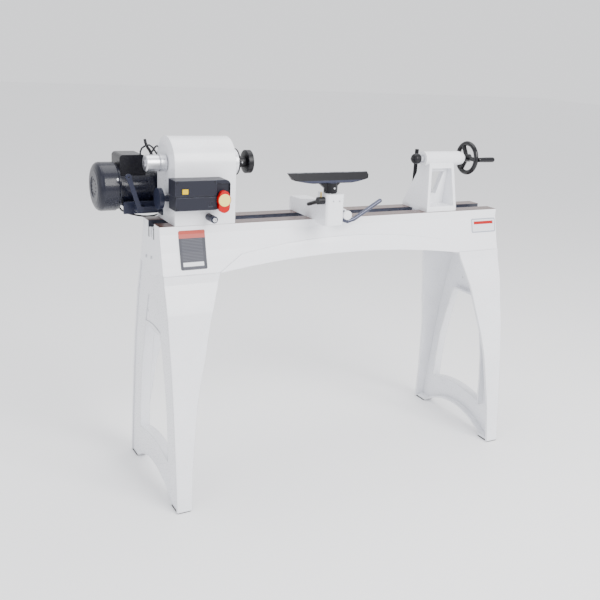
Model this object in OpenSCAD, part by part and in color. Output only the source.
// Floor-standing wood lathe: cast bed on two arched legs, headstock with belt drive,
// banjo with tool rest, and tailstock. Millimetres, +Z up, bed along X, front towards -Y.

/* [Bed] */
// Length of the bed casting along X
bed_len = 1530; // [1200:10:1800]
// Height of the top of the ways above the floor
bed_top = 1040; // [900:5:1100]
// Half of the gap between the two ways
gap_half = 32; // [25:0.5:40]
// Half width over the two ways
way_half = 92; // [80:1:110]
// Thickness of the way plates
way_t = 22; // [15:1:30]
// Wall thickness of the bed sides
bed_wall = 14; // [8:1:20]

/* [Legs] */
// Height of the seam between the legs and the bed
seam_z = 868; // [800:1:900]
// Half width of a leg over its feet
foot_half = 284; // [250:1:320]
// Wall thickness of the leg castings
leg_wall = 12; // [8:1:16]

/* [Spindle line] */
// Height of the spindle centre above the ways
centre_h = 210; // [150:5:250]
// Radius of the headstock dome
dome_r = 94; // [80:1:110]
// Radius of the faceplate
faceplate_r = 43; // [35:1:60]
// Radius of the circle of faceplate screw holes
faceplate_pitch_r = 32; // [20:1:38]
// Radius of the through bore of the spindle
bore_r = 5; // [3:0.5:8]
// Radial clearance of a running fit
run_gap = 0.05; // [0.02:0.01:0.1]

/* [Drive] */
// Motor axis behind the bed centre line
motor_y = 175; // [160:1:200]
// Motor axis height above the floor
motor_z = 1141; // [1120:1:1160]
// Outer radius of the motor body
motor_r = 70; // [60:1:80]
// Outer radius of the fan cover
fan_cover_r = 89; // [82:1:92]

/* [Tool rest] */
// Length of the tool rest
rest_len = 338; // [200:1:400]
// Radius of the tool rest post
post_r = 12.5; // [10:0.25:15]

/* [Tailstock] */
// Radius of the tailstock barrel
barrel_r = 30; // [25:1:40]
// Radius of the quill
quill_r = 16.2; // [12:0.1:20]
// Outer radius of the handwheel
wheel_r = 72; // [60:1:90]

/* [Hidden] */
$fn = 64;
shift_x = 79;
bed_half = bed_len / 2;
axis_z = bed_top + centre_h;
slide_z = bed_top - way_t;

bed_side = [[way_half, bed_top], [way_half, 1010], [108, 948], [123, 895], [131, seam_z]];
bed_skirt = [[way_half, 1010], [112, 948], [127, 895], [135, seam_z]];
leg_side = [[135, seam_z], [141, 838], [176, 735], [196, 640], [217, 550], [235, 432],
    [262, 216], [foot_half, 4]];
leg_flange = [[0, 4], [57, 4], [66, 170], [85, 340], [94, 414], [112, 500], [128, 560],
    [161, 700], [192, 795], [215, seam_z], [0, seam_z]];
leg_window = [[169, 120], [168, 160], [163, 256], [150, 380], [125, 490], [95, 600],
    [90, 615], [80, 626], [65, 630]];

crank_x = -794 + 23.2 * cos(15);
crank_z = 1078 - 23.2 * sin(15);

lead_a = [[-762, 128, 1262.3], [-762, 128, 1272], [-757, 126, 1285], [-746, 124, 1293],
    [-731, 122, 1297], [-719, 121, 1289], [-712, 119, 1278], [-706, 116, 1268],
    [-700, 110, 1258], [-697, 103, 1255], [-697, 94.5, 1255]];
lead_b = [[-744.6, 131, 1240], [-738, 131, 1240], [-727, 131, 1257], [-716, 129, 1275],
    [-707, 126, 1289], [-700, 125, 1294], [-694, 125, 1288], [-695, 125, 1275],
    [-700, 122, 1260], [-704, 115, 1250], [-705, 104, 1244], [-705, 94.7, 1243]];
lead_c = [[-742, 138, 1316], [-739, 138, 1302], [-733, 138, 1288], [-724, 138, 1275],
    [-715, 138, 1257], [-705, 135, 1243], [-696, 127, 1234], [-690, 112, 1231],
    [-690, 95.2, 1231]];
lead_d = [[-829, 175, 1070.8], [-829, 175, 1062], [-824, 168, 1053], [-812, 160, 1045],
    [-792, 152, 1039], [-774, 147, 1035], [-753, 141, 1032], [-735, 134, 1032],
    [-715, 123, 1036], [-700, 115, 1042], [-690, 104, 1046], [-690, 94.5, 1046]];

white_paint = [0.93, 0.94, 0.97];
black_metal = [0.06, 0.06, 0.09];
blue_black = [0.10, 0.11, 0.17];
slate = [0.24, 0.26, 0.34];
bright_steel = [0.74, 0.75, 0.78];

function both_sides(p) = concat(p, [for (i = [len(p) - 1:-1:0]) [-p[i][0], p[i][1]]]);
function inset(p, d) = [for (q = p) [q[0] - d, q[1]]];

module place() translate([shift_x, 0, 0]) children();

module block(x0, x1, y0, y1, z0, z1) {
    translate([x0, y0, z0]) cube([x1 - x0, y1 - y0, z1 - z0]);
}

module along_x(x0, x1) {
    translate([x0, 0, 0]) rotate([90, 0, 90]) linear_extrude(x1 - x0) children();
}

module along_y(y0, y1) {
    translate([0, y1, 0]) rotate([90, 0, 0]) linear_extrude(y1 - y0) children();
}

module rod_x(x0, x1, r, y = 0, z = axis_z) {
    translate([x0, y, z]) rotate([0, 90, 0]) cylinder(r = r, h = x1 - x0);
}

module rod_y(y0, y1, r, x, z) {
    translate([x, y0, z]) rotate([-90, 0, 0]) cylinder(r = r, h = y1 - y0);
}

module rod_z(z0, z1, r, x, y) {
    translate([x, y, z0]) cylinder(r = r, h = z1 - z0);
}

module cone_x(x0, x1, r0, r1, y = 0, z = axis_z) {
    translate([x0, y, z]) rotate([0, 90, 0]) cylinder(r1 = r0, r2 = r1, h = x1 - x0);
}

// Turned shape: profile points are [x, radius] along the spindle line.
module turned_x(profile, y = 0, z = axis_z) {
    translate([0, y, z]) rotate([0, 90, 0])
        rotate_extrude() polygon([for (p = profile) [p[1], p[0]]]);
}

module mirror_x_copy() {
    children();
    mirror([1, 0, 0]) children();
}

// ---------------------------------------------------------------- bed

module bed_hollow() {
    difference() {
        along_x(-bed_half + 18, bed_half - 18)
            polygon(both_sides(concat([[way_half - bed_wall, slide_z]],
                inset([for (i = [1:4]) bed_side[i]], bed_wall), [[117, seam_z - 30]])));
        for (x = [-390, -130, 130, 390]) block(x - 6, x + 6, -140, 140, 800, 962);
        mirror_x_copy() block(556, 760, -140, 140, 860, seam_z + 14);
    }
}

module bed_casting() color(white_paint) place() difference() {
    union() {
        along_x(-bed_half, bed_half) polygon(both_sides(bed_side));
        intersection() {
            along_x(-551, 551) polygon(both_sides(bed_skirt));
            along_y(-200, 200) polygon([[-551, 860], [-551, seam_z], [-455, 931], [0, 1020],
                [455, 931], [551, seam_z], [551, 860]]);
            crease_disc();
        }
        mirror_x_copy() intersection() {
            block(761, bed_half, -120, 120, 840, 872);
            rod_x(700, 800, 157, 0, 1002);
        }
    }
    bed_hollow();
    arch_disc();
    block(-800, 800, -gap_half, gap_half, slide_z, 1060);
    mirror_x_copy() end_slot();
    mirror_x_copy() for (x = [610, 710], y = [-70, 70]) rod_z(850, 900, 6.05, x, y);
    for (p = [[56, 900], [-2, 909]]) rod_x(-780, -700, 3.05, p[0], p[1]);
}

// Large discs whose rims give the arched underside and the crease above it.
module arch_disc() translate([0, -200, 905 - 3959]) rotate([-90, 0, 0])
    cylinder(r = 3959, h = 400, $fn = 720);

module crease_disc() translate([0, -200, 968 - 2630]) rotate([-90, 0, 0])
    cylinder(r = 2630, h = 400, $fn = 720);

module end_slot() {
    block(740, 780, -9, 9, 993, 1030);
    rod_x(740, 780, 9, 0, 993);
}

// ---------------------------------------------------------------- legs

module leg_opening() {
    difference() {
        polygon(both_sides(leg_window));
        translate([0, 180 - 577]) circle(577);
    }
    translate([0, 75 - 340]) circle(340);
}

// Stiffening rim that runs round the window and under the cross bar.
module leg_rim() {
    difference() {
        polygon(both_sides([for (p = leg_window) [p[0] + 9, p[1] + (p[1] > 590 ? 9 : 0)]]));
        translate([0, 180 - 577]) circle(568);
        leg_opening();
    }
    intersection() {
        polygon(both_sides(inset(leg_side, 1)));
        difference() {
            translate([0, 75 - 340]) circle(349);
            translate([0, 75 - 340]) circle(340);
        }
    }
}

module leg_shape() difference() {
    union() {
        intersection() {
            along_x(540, bed_half) difference() {
                polygon(both_sides(leg_side));
                polygon(both_sides(inset(leg_side, leg_wall)));
            }
            along_y(-300, 300) polygon([for (p = leg_flange) [bed_half - p[0], p[1]]]);
        }
        along_x(749, 761) difference() {
            polygon(both_sides(inset(leg_side, 1)));
            leg_opening();
        }
        along_x(722, 750) leg_rim();
        for (s = [-1, 1]) block(bed_half - 50, bed_half - 4, s * 241 - 34, s * 241 + 34, 4, 16);
        block(556, 755, -124, 124, seam_z - 14, seam_z);
    }
    along_x(758, 770) polygon([[-50, 757], [50, 757], [88, 640], [60, 645], [0, 650],
        [-60, 645], [-88, 640]]);
    rod_x(740, 770, 5, 62, 688);
    for (x = [610, 710], y = [-70, 70]) rod_z(840, 880, 6.05, x, y);
}

module left_leg() color(white_paint) place() mirror([1, 0, 0]) leg_shape();

module right_leg() color(white_paint) place() leg_shape();

module leg_bolts() color(bright_steel) place()
    mirror_x_copy() for (x = [610, 710], y = [-70, 70]) {
        translate([x, y, seam_z - 22]) cylinder(r = 11, h = 8, $fn = 6);
        rod_z(seam_z - 20, seam_z + 26, 6, x, y);
        translate([x, y, seam_z + 14]) cylinder(r = 11, h = 10, $fn = 6);
    }

module foot_pads() color(black_metal) place()
    mirror_x_copy() for (s = [-1, 1]) block(713, 763, s * 248 - 34, s * 248 + 34, 0, 4);

module end_screws() color(bright_steel) place()
    for (p = [[56, 900], [-2, 909]]) {
        rod_x(-bed_half - 3, -bed_half, 6, p[0], p[1]);
        rod_x(-bed_half, -bed_half + 22, 3, p[0], p[1]);
    }

// Plate lying on the sloping front of the bed between two heights.
module front_plate(x0, x1, z0, z1, t, side) {
    intersection() {
        along_x(x0, x1) difference() {
            polygon([for (p = concat(side, [[0, seam_z], [0, bed_top]])) [-p[0] - (p[0] > 0 ? t : 0), p[1]]]);
            polygon([for (p = concat(side, [[-5, seam_z - 1], [-5, bed_top + 1]])) [-p[0], p[1]]]);
        }
        block(x0 - 1, x1 + 1, -300, 0, z0, z1);
    }
}

module warning_plate() color([0.36, 0.38, 0.46]) place() difference() {
    front_plate(-697, -597, 886, 1023, 1.2, bed_side);
    for (x = [-697, -597], z = [886, 1023]) rod_y(-200, 0, 3, x, z);
}

module badge_plate() color([0.85, 0.86, 0.88]) place() difference() {
    front_plate(629, 759, 943, 1001, 1.5, bed_side);
    for (x = [629, 759], z = [943, 1001]) rod_y(-200, 0, 3, x, z);
}

// ---------------------------------------------------------------- headstock

module headstock_section(r) {
    translate([0, axis_z]) circle(r);
    translate([-r, bed_top + dome_r - r]) square([2 * r, centre_h - dome_r + r]);
}

module headstock_casting() color(white_paint) place() difference() {
    union() {
        difference() {
            along_x(-710, -480) headstock_section(dome_r);
            along_x(-698, -492) headstock_section(dome_r - 12);
        }
        rod_x(-700, -676, 42);
        rod_x(-520, -490, 42);
        block(-690, -500, -gap_half + 0.3, gap_half - 0.3, slide_z + 2, bed_top + 13);
        for (y = [-88, 74]) rod_y(y, y + 14, 16, -583, 1069);
    }
    rod_x(-702, -677, 31);
    rod_x(-519, -495, 31);
    rod_x(-720, -470, 20);
    block(-656, -584, 60, 110, 1108, 1262);
    block(-606, -560, -20, 20, 1010, 1070);
    rod_y(-110, 86, 8 + run_gap, -583, 1069);
    rod_x(-720, -690, 6.05, -30, 1129);
    rod_x(-720, -690, 6, 2, 1185);
    for (z = [1095, 1192]) rod_y(70, 100, 4 + run_gap, -688, z);
}

module rear_cover() color(white_paint) place() difference() {
    block(-664, -576, 94, 250, 1062, 1262);
    block(-661, -579, 90, 247, 1065, 1259);
    block(-670, -655, motor_y - 14, motor_y + 14, motor_z - 14, motor_z + 26);
}

module bearing_ring(x0, x1) difference() {
    rod_x(x0, x1, 31);
    rod_x(x0 - 1, x1 + 1, 15);
}

module front_bearing() color(bright_steel) place() bearing_ring(-517, -495);

module rear_bearing() color(bright_steel) place() bearing_ring(-702, -680);

module control_box() color(slate) place() difference() {
    union() {
        along_y(-160, -dome_r) {
            translate([-733, 1156]) square([186, 56]);
            translate([-560, 1156]) square([31, 38]);
            translate([-547, 1194]) circle(18);
            translate([-731, 1107]) square([200, 49]);
        }
        along_y(-164, -156) {
            translate([-733, 1158]) square([150, 54]);
        }
        along_y(-164, -156) translate([-731, 1109]) square([149, 44]);
    }
    block(-728, -534, -148, -80, 1111, 1208);
    block(-582, -530, -170, -152, 1100, 1200);
    block(-565.3, -548.7, -160, -140, 1134.7, 1151.3);
    block(-708.8, -687.2, -170, -140, 1166.2, 1183.8);
    block(-613, -597, -170, -162, 1120, 1137);
}

module start_key() color([0.93, 0.78, 0.16]) place() {
    block(-708.5, -687.5, -167, -147.6, 1166.5, 1183.5);
    block(-711, -685, -147.6, -144, 1164, 1186);
}

module stop_paddle() color([0.86, 0.07, 0.09]) place() {
    along_y(-176, -160) {
        translate([-557, 1143]) circle(24.5);
        translate([-557, 1118]) circle(20.5);
        translate([-557, 1158]) circle(18);
        translate([-577.5, 1118]) square([41, 25]);
    }
    block(-565, -549, -160, -145, 1135, 1151);
}

module stop_disc() color([0.94, 0.92, 0.72]) place() rod_y(-178, -176, 22, -557, 1143);

module headstock_clamp_shaft() color(slate) place() {
    rod_y(-150, -94.3, 13, -583, 1069);
    rod_y(-94.3, 84, 8, -583, 1069);
}

module hub_screw() color(bright_steel) place() difference() {
    rod_y(-154, -150, 8, -583, 1069);
    translate([-583, -151.5, 1069]) rotate([90, 0, 0]) cylinder(r = 3.5, h = 5, $fn = 6);
}

module clamp_foot(x, z) {
    difference() {
        union() {
            rod_y(-9, 9, 13, x, z);
            rod_z(slide_z - 20, z - 8, 6, x, 0);
            block(x - 30, x + 30, -52, 52, slide_z - 14, slide_z - 1);
            translate([x, 0, slide_z - 24]) cylinder(r = 10, h = 10, $fn = 6);
        }
        rod_y(-10, 10, 8.4, x, z);
    }
}

module headstock_clamp_plate() color(black_metal) place() clamp_foot(-583, 1069);

module motor_lock_knob() color([0.22, 0.25, 0.34]) place() {
    rod_x(-753, -737, 38, -30, 1129);
    rod_x(-737, -710.3, 11, -30, 1129);
    rod_x(-711, -692, 6, -30, 1129);
}

module tension_bracket() color(slate) place() difference() {
    union() {
        block(-800, -710, 44, 56, 1066, 1086);
        block(-715, -710, 30, 70, 1056, 1096);
        rod_y(44, 56, 14, -794, 1078);
    }
    rod_y(40, 60, 6 + run_gap, -794, 1078);
}

// The lever shaft ends in a crank pin that lifts the motor plate.
module tension_lever() color([0.22, 0.25, 0.34]) place() difference() {
    union() {
        rod_y(34, 43.7, 13, -794, 1078);
        rod_y(34, 94, 6, -794, 1078);
        translate([-794, 35, 1078]) rotate([0, -18.3, 0]) translate([-8, 0, 0]) cube([16, 8, 124]);
        rod_y(34, 44, 11, -833, 1196);
        translate([-794, 85, 1078]) rotate([0, 15, 0]) translate([-7, 0, -8]) cube([36, 9, 16]);
        rod_y(85, 104, 8, crank_x, crank_z);
    }
    rod_y(30, 50, 4, -833, 1196);
}

function unit(v) = v / norm(v);
function path_dir(p, i) = unit(p[min(i + 1, len(p) - 1)] - p[max(i - 1, 0)]);
function path_side(p, i, u) = i == len(p) ? [] : let (t = path_dir(p, i), n = unit(u - (u * t) * t))
    concat([n], path_side(p, i + 1, n));

// Tube of radius r through the points of a path, one ring per point.
module lead(p, r, n = 8) {
    side = path_side(p, 0, [0.1, 0.2, 1]);
    rings = [for (i = [0:len(p) - 1]) let (t = path_dir(p, i), v = cross(t, side[i]))
        for (k = [0:n - 1]) p[i] + r * cos(k * 360 / n) * side[i] + r * sin(k * 360 / n) * v];
    walls = [for (i = [0:len(p) - 2]) for (k = [0:n - 1]) let (a = i * n + k, b = i * n + (k + 1) % n)
        [a, a + n, b + n, b]];
    last = (len(p) - 1) * n;
    polyhedron(rings, concat([[for (k = [0:n - 1]) k]], walls, [[for (k = [n - 1:-1:0]) last + k]]));
}

module upper_leads() color(black_metal) place() {
    lead(lead_a, 3.3);
    lead(lead_b, 3.3);
    lead(lead_c, 5.2);
}

module lower_lead() color(black_metal) place() lead(lead_d, 3.3);

// ---------------------------------------------------------------- spindle

module spindle() color(bright_steel) place() difference() {
    union() {
        rod_x(-712, -448, 15 - run_gap);
        rod_x(-790, -712, 12);
        rod_x(-448, -412, 12.5);
    }
    rod_x(-800, -400, bore_r);
}

module spindle_pulley() color([0.62, 0.63, 0.66]) place() difference() {
    union() {
        rod_x(-651, -631, 34);
        rod_x(-631, -609, 45);
        rod_x(-609, -589, 56);
    }
    rod_x(-660, -580, 15);
}

module index_ring() color([0.86, 0.87, 0.9]) place() difference() {
    rod_x(-479, -448, 47);
    rod_x(-490, -440, 15);
    for (a = [0:18:342]) translate([-463, 0, axis_z]) rotate([a, 0, 0]) rod_z(36, 50, 4.2, 0, 0);
}

module spindle_collar() color(black_metal) place() difference() {
    turned_x([[-448, 0], [-448, 46], [-446.5, 49], [-443.5, 49], [-442, 46], [-442, 0]]);
    rod_x(-450, -440, 12.5);
}

module faceplate() color(black_metal) place() difference() {
    turned_x([[-442, 0], [-442, 21], [-410, 21], [-407, 40], [-405, faceplate_r],
        [-386, faceplate_r], [-386, 0]]);
    rod_x(-450, -412, 12.5 + run_gap);
    rod_x(-420, -380, 8);
    for (a = [45:90:315]) translate([-386, 0, axis_z]) rotate([a, 0, 0]) translate([0, 0, -axis_z])
        rod_x(-30, 5, 2.6, 0, axis_z + faceplate_pitch_r);
    rod_y(-30, -10, 3.05, -424, axis_z);
}

module faceplate_screw() color(bright_steel) place() rod_y(-20.5, -12.6, 3, -424, axis_z);

module outboard_handwheel() color([0.75, 0.76, 0.79]) place() difference() {
    union() {
        turned_x([[-787, 0], [-787, 26], [-784, 29], [-740, 29], [-736, 25], [-735, 25], [-735, 0]]);
        turned_x([[-735.5, 0], [-735.5, 30], [-714, 30], [-712.5, 28], [-712.5, 0]]);
    }
    rod_x(-800, -700, 12);
    for (a = [0:60:300]) translate([0, 0, axis_z]) rotate([a, 0, 0]) rod_z(26, 40, 2.5, -724, 0);
}

// ---------------------------------------------------------------- motor

module motor_plate() color(slate) place() difference() {
    union() {
        block(-835, -668, 94.5, 104.5, 1052, 1096);
        block(-708, -668, 94.5, 104.5, 1052, 1222);
    }
    block(crank_x - 10.5, crank_x + 10.5, 90, 110, crank_z - 8.3, crank_z + 8.3);
    for (z = [1095, 1192]) block(-692.5, -683.5, 90, 110, z - 17, z + 5);
}

module plate_bolts() color(bright_steel) place() for (z = [1095, 1192]) {
    rod_y(74, 105, 4, -688, z);
    rod_y(104.7, 109.5, 7.5, -688, z);
}

// The end shield's rim carries the fan cover.
module motor_body() color(blue_black) place() difference() {
    union() {
        rod_x(-847, -684, motor_r, motor_y, motor_z);
        block(-830, -702, 104.5, motor_y, motor_z - 66, motor_z - 48);
        rod_x(-847, -841, fan_cover_r - 4, motor_y, motor_z);
        rod_x(-861, -841, fan_cover_r - 6 - run_gap, motor_y, motor_z);
    }
    rod_x(-862, -847, fan_cover_r - 12, motor_y, motor_z);
    rod_x(-841, -680, motor_r - 5, motor_y, motor_z);
    rod_x(-850, -680, 10 + run_gap, motor_y, motor_z);
}

module motor_end_bell() color(blue_black) place() difference() {
    turned_x([[-684, 0], [-684, motor_r], [-678, motor_r], [-670, 50], [-670, 0]], motor_y, motor_z);
    rod_x(-690, -660, 10 + run_gap, motor_y, motor_z);
}

module fan_cover() color(blue_black) place() difference() {
    turned_x([[-847, 0], [-847, fan_cover_r - 4], [-851, fan_cover_r], [-902, fan_cover_r],
        [-909, fan_cover_r - 2], [-915, fan_cover_r - 7], [-920, fan_cover_r - 16],
        [-923, fan_cover_r - 28], [-923, 40], [-920.5, 38], [-920.5, 0]], motor_y, motor_z);
    rod_x(-904, -840, fan_cover_r - 6, motor_y, motor_z);
    rod_x(-917, -900, 62, motor_y, motor_z);
    for (a = [0:30:330]) translate([0, motor_y, motor_z]) rotate([a, 0, 0])
        rod_x(-930, -915, 3.5, 0, 27);
}

module capacitor_cover() color(black_metal) place() difference() {
    union() {
        along_y(122, 228) {
            translate([-840, 1186]) square([95, 62]);
            translate([-826, 1248]) square([67, 14]);
            for (x = [-826, -759]) translate([x, 1248]) circle(14);
        }
    }
    rod_x(-850, -700, motor_r, motor_y, motor_z);
}

module motor_shaft() color(bright_steel) place() rod_x(-900, -588, 10, motor_y, motor_z);

module motor_pulley() color([0.62, 0.63, 0.66]) place() difference() {
    union() {
        rod_x(-651, -631, 50, motor_y, motor_z);
        rod_x(-631, -609, 39, motor_y, motor_z);
        rod_x(-609, -589, 28, motor_y, motor_z);
    }
    rod_x(-660, -580, 10, motor_y, motor_z);
}

module cooling_fan() color(black_metal) place() difference() {
    union() {
        rod_x(-900, -870, 20, motor_y, motor_z);
        rod_x(-875, -870, 66, motor_y, motor_z);
        for (a = [0:45:315]) translate([-900, motor_y, motor_z]) rotate([a, 0, 0])
            block(0, 28, -2, 2, 10, 68);
    }
    rod_x(-910, -860, 10, motor_y, motor_z);
}

module drive_belt() color(black_metal) place()
    along_x(-624, -616) difference() {
        belt_loop(48.5, 42.5);
        belt_loop(45.1, 39.1);
    }

// Outline round both pulleys: two circles joined by their outer tangents.
module belt_loop(r0, r1) {
    c0 = [0, axis_z];
    c1 = [motor_y, motor_z];
    d = norm(c1 - c0);
    a = atan2(c1[1] - c0[1], c1[0] - c0[0]);
    b = acos((r0 - r1) / d);
    up = [cos(a + b), sin(a + b)];
    down = [cos(a - b), sin(a - b)];
    run = 4 * (c1 - c0) / d;
    translate(c0) circle(r0);
    translate(c1) circle(r1);
    polygon([c0 + r0 * up - run, c1 + r1 * up + run, c1 + r1 * down + run, c0 + r0 * down - run]);
}

// ---------------------------------------------------------------- banjo and tool rest

module banjo_clamp_plate() color(black_metal) place() difference() {
    block(-70, -10, -52, 52, slide_z - 14, slide_z - 1);
    rod_z(slide_z - 20, slide_z, 6 + run_gap, -40, 0);
}

module banjo_clamp_bolt() color(bright_steel) place() difference() {
    union() {
        rod_y(-7, 7, 13.5, -40, 1062);
        rod_z(slide_z - 20, 1054, 6, -40, 0);
        translate([-40, 0, slide_z - 24.5]) cylinder(r = 10, h = 10, $fn = 6);
    }
    rod_y(-10, 10, 8.4, -40, 1062);
}

module banjo_casting() color(white_paint) place() difference() {
    union() {
        along_x(-157, -86) polygon([[103, bed_top], [103, 1088], [94, 1096], [10, 1099],
            [-70, 1112], [-155, 1126], [-155, 1050], [-135, bed_top]]);
        block(-88, -14, -110, 103, bed_top, 1064);
        rod_y(-128, 103, 19, -40, 1062);
        intersection() {
            block(-174, -98, -227, -149, 1040, 1158);
            rod_z(1040, 1158, 50, -136, -188);
        }
    }
    rod_z(1052, 1170, post_r + run_gap, -140, -188);
    rod_y(-68, 68, 14.5, -40, 1062);
    block(-47, -33, -68, 68, 1030, 1062);
    rod_y(-140, 110, 8 + run_gap, -40, 1062);
    for (x = [-146, -120]) rod_y(-230, -223, 3, x, 1132);
    rod_x(-180, -152, 6 + run_gap, -205, 1133);
    block(-145, -98, -75, 85, 1030, 1082);
}

module banjo_clamp_shaft() color(white_paint) place() {
    rod_y(-155, 98, 8, -40, 1062);
    rod_y(-162, -153, 18, -40, 1062);
}

// Round bar through points given as [x, z] in one plane of constant y.
module bent_bar(p, y, r) {
    for (i = [0:len(p) - 2]) let (d = p[i + 1] - p[i])
        translate([p[i][0], y, p[i][1]]) rotate([0, atan2(d[0], d[1]), 0])
            cylinder(r = r, h = norm(d));
    for (q = p) translate([q[0], y, q[1]]) sphere(r + 0.2);
}

module banjo_clamp_lever() color(slate) place() difference() {
    union() {
        rod_y(-152.8, -128.4, 14, -40, 1062);
        bent_bar([[-50, 1052], [-49, 1041], [-27, 1034], [3, 1042], [89, 1093], [117, 1109]],
            -140, 8.2);
    }
    rod_y(-160, -120, 8, -40, 1062);
}

module post_lock_lever() color(black_metal) place() difference() {
    union() {
        rod_x(-202, -174.4, 14, -205, 1133);
        rod_x(-175, -153, 6, -205, 1133);
        translate([-188, -205, 1133]) rotate([-108, 0, 0]) cylinder(r1 = 8.5, r2 = 7, h = 98);
    }
    rod_z(1139, 1150, 3.5, -188, -205);
}

module lock_pin() color([0.72, 0.58, 0.25]) place() rod_z(1139, 1165, 3.5, -188, -205);

module tool_rest_post() color(bright_steel) place() rod_z(1062, 1189, post_r, -140, -188);

module tool_rest() color(black_metal) place() difference() {
    union() {
        intersection() {
            along_x(-145 - rest_len / 2, -145 + rest_len / 2)
                polygon([[-170, 1230], [-172, 1233], [-176, 1232], [-208, 1207], [-209, 1200],
                    [-204, 1196], [-188, 1194], [-172, 1212]]);
            along_y(-220, -160) polygon([[-314, 1240], [24, 1240], [24, 1222], [14, 1211],
                [-60, 1196], [-100, 1192], [-190, 1192], [-240, 1198], [-298, 1208], [-314, 1231]]);
        }
        along_y(-200, -178) polygon([[-163, 1162], [-164, 1174], [-196, 1200], [-100, 1200],
            [-116, 1186], [-116, 1162]]);
        rod_z(1160, 1200, 25, -140, -188);
    }
    rod_z(1150, 1190, post_r + run_gap, -140, -188);
    rod_y(-220, -195, 4 + run_gap, -136, 1178);
}

module rest_screw() color(bright_steel) place() rod_y(-212, -200.6, 4, -136, 1178);

// ---------------------------------------------------------------- tailstock

module tailstock_casting() color(white_paint) place() difference() {
    union() {
        intersection() {
            along_y(-95, 95) polygon([[390, bed_top], [542, bed_top], [542, 1054], [557, 1240],
                [430, 1240], [390, 1054]]);
            along_x(380, 570) polygon(both_sides([[25, 1240], [90, 1054], [90, bed_top]]));
        }
        rod_x(410, 592, barrel_r);
        cone_x(592, 612, barrel_r, 26);
        cone_x(612, 625, 26, 16);
        block(402, 530, -gap_half + 0.3, gap_half - 0.3, slide_z + 2, bed_top + 5);
    }
    difference() {
        along_y(-100, -7) polygon([[405, 1062], [529, 1062], [540, 1212], [439, 1212]]);
        block(432, 468, -18, 0, 1050, 1098);
    }
    along_y(7, 100) polygon([[419, 1108], [533, 1108], [540, 1212], [439, 1212]]);
    along_y(-100, 100) polygon([[447, 1102], [488, 1102], [522, 1196], [462, 1196]]);
    rod_x(404, 582, quill_r + run_gap);
    rod_x(580, 640, 7 + run_gap);
    block(436, 464, -12, 12, 1010, 1092);
    rod_y(-14, 100, 8 + run_gap, 450, 1075);
    block(396, 536, -20, 20, 1010, 1030);
}

module tailstock_clamp_plate() color(black_metal) place() clamp_foot(450, 1075);

module tailstock_clamp_lever() color(black_metal) place() {
    rod_y(-13, 92, 8, 450, 1075);
    rod_y(90, 112, 14, 450, 1075);
    rod_z(1075, 1276, 8.5, 450, 101);
}

module quill() color(bright_steel) place() difference() {
    rod_x(392, 548, quill_r);
    rod_x(388, 426, 8);
    rod_x(432, 560, 7.4);
}

module leadscrew() color(bright_steel) place() {
    rod_x(434, 664, 7);
    rod_x(570, 581.5, 12);
}

module tail_handwheel() color(black_metal) place() difference() {
    union() {
        translate([646, 0, axis_z]) rotate([0, 90, 0]) rotate_extrude()
            translate([wheel_r - 10, 0]) circle(10);
        rod_x(630, 660, 17);
        for (a = [90, 210, 330]) translate([0, 0, axis_z]) rotate([a, 0, 0])
            rod_z(12, wheel_r - 10, 9.5, 646, 0);
        rod_x(646, 737, 4, -64);
    }
    rod_x(620, 670, 7);
}

module wheel_handle() color(black_metal) place() difference() {
    turned_x([[657, 0], [657, 9], [662, 10], [700, 11], [736, 11], [741, 9], [741, 0]], -64);
    rod_x(650, 738, 4 + run_gap, -64);
}

module live_centre_body() color(black_metal) place() difference() {
    union() {
        turned_x([[358, 0], [358, 12], [361, 17], [366, 20.5], [370, 21], [388, 21], [392, 18],
            [392, 0]]);
        rod_x(392, 420, 8);
    }
    rod_x(352, 378, 6 + run_gap);
}

module live_centre_point() color(bright_steel) place() {
    cone_x(346, 357, 0.4, 5.5);
    rod_x(357, 377, 6);
}

// ---------------------------------------------------------------- drawing
bed_casting();
left_leg();
right_leg();
leg_bolts();
foot_pads();
end_screws();
warning_plate();
badge_plate();
headstock_casting();
rear_cover();
front_bearing();
rear_bearing();
control_box();
start_key();
stop_paddle();
stop_disc();
headstock_clamp_shaft();
hub_screw();
headstock_clamp_plate();
motor_lock_knob();
tension_bracket();
tension_lever();
upper_leads();
lower_lead();
spindle();
spindle_pulley();
index_ring();
spindle_collar();
faceplate();
faceplate_screw();
outboard_handwheel();
motor_plate();
plate_bolts();
motor_body();
motor_end_bell();
fan_cover();
capacitor_cover();
motor_shaft();
motor_pulley();
cooling_fan();
drive_belt();
banjo_clamp_plate();
banjo_clamp_bolt();
banjo_casting();
banjo_clamp_shaft();
banjo_clamp_lever();
post_lock_lever();
lock_pin();
tool_rest_post();
tool_rest();
rest_screw();
tailstock_casting();
tailstock_clamp_plate();
tailstock_clamp_lever();
quill();
leadscrew();
tail_handwheel();
wheel_handle();
live_centre_body();
live_centre_point();
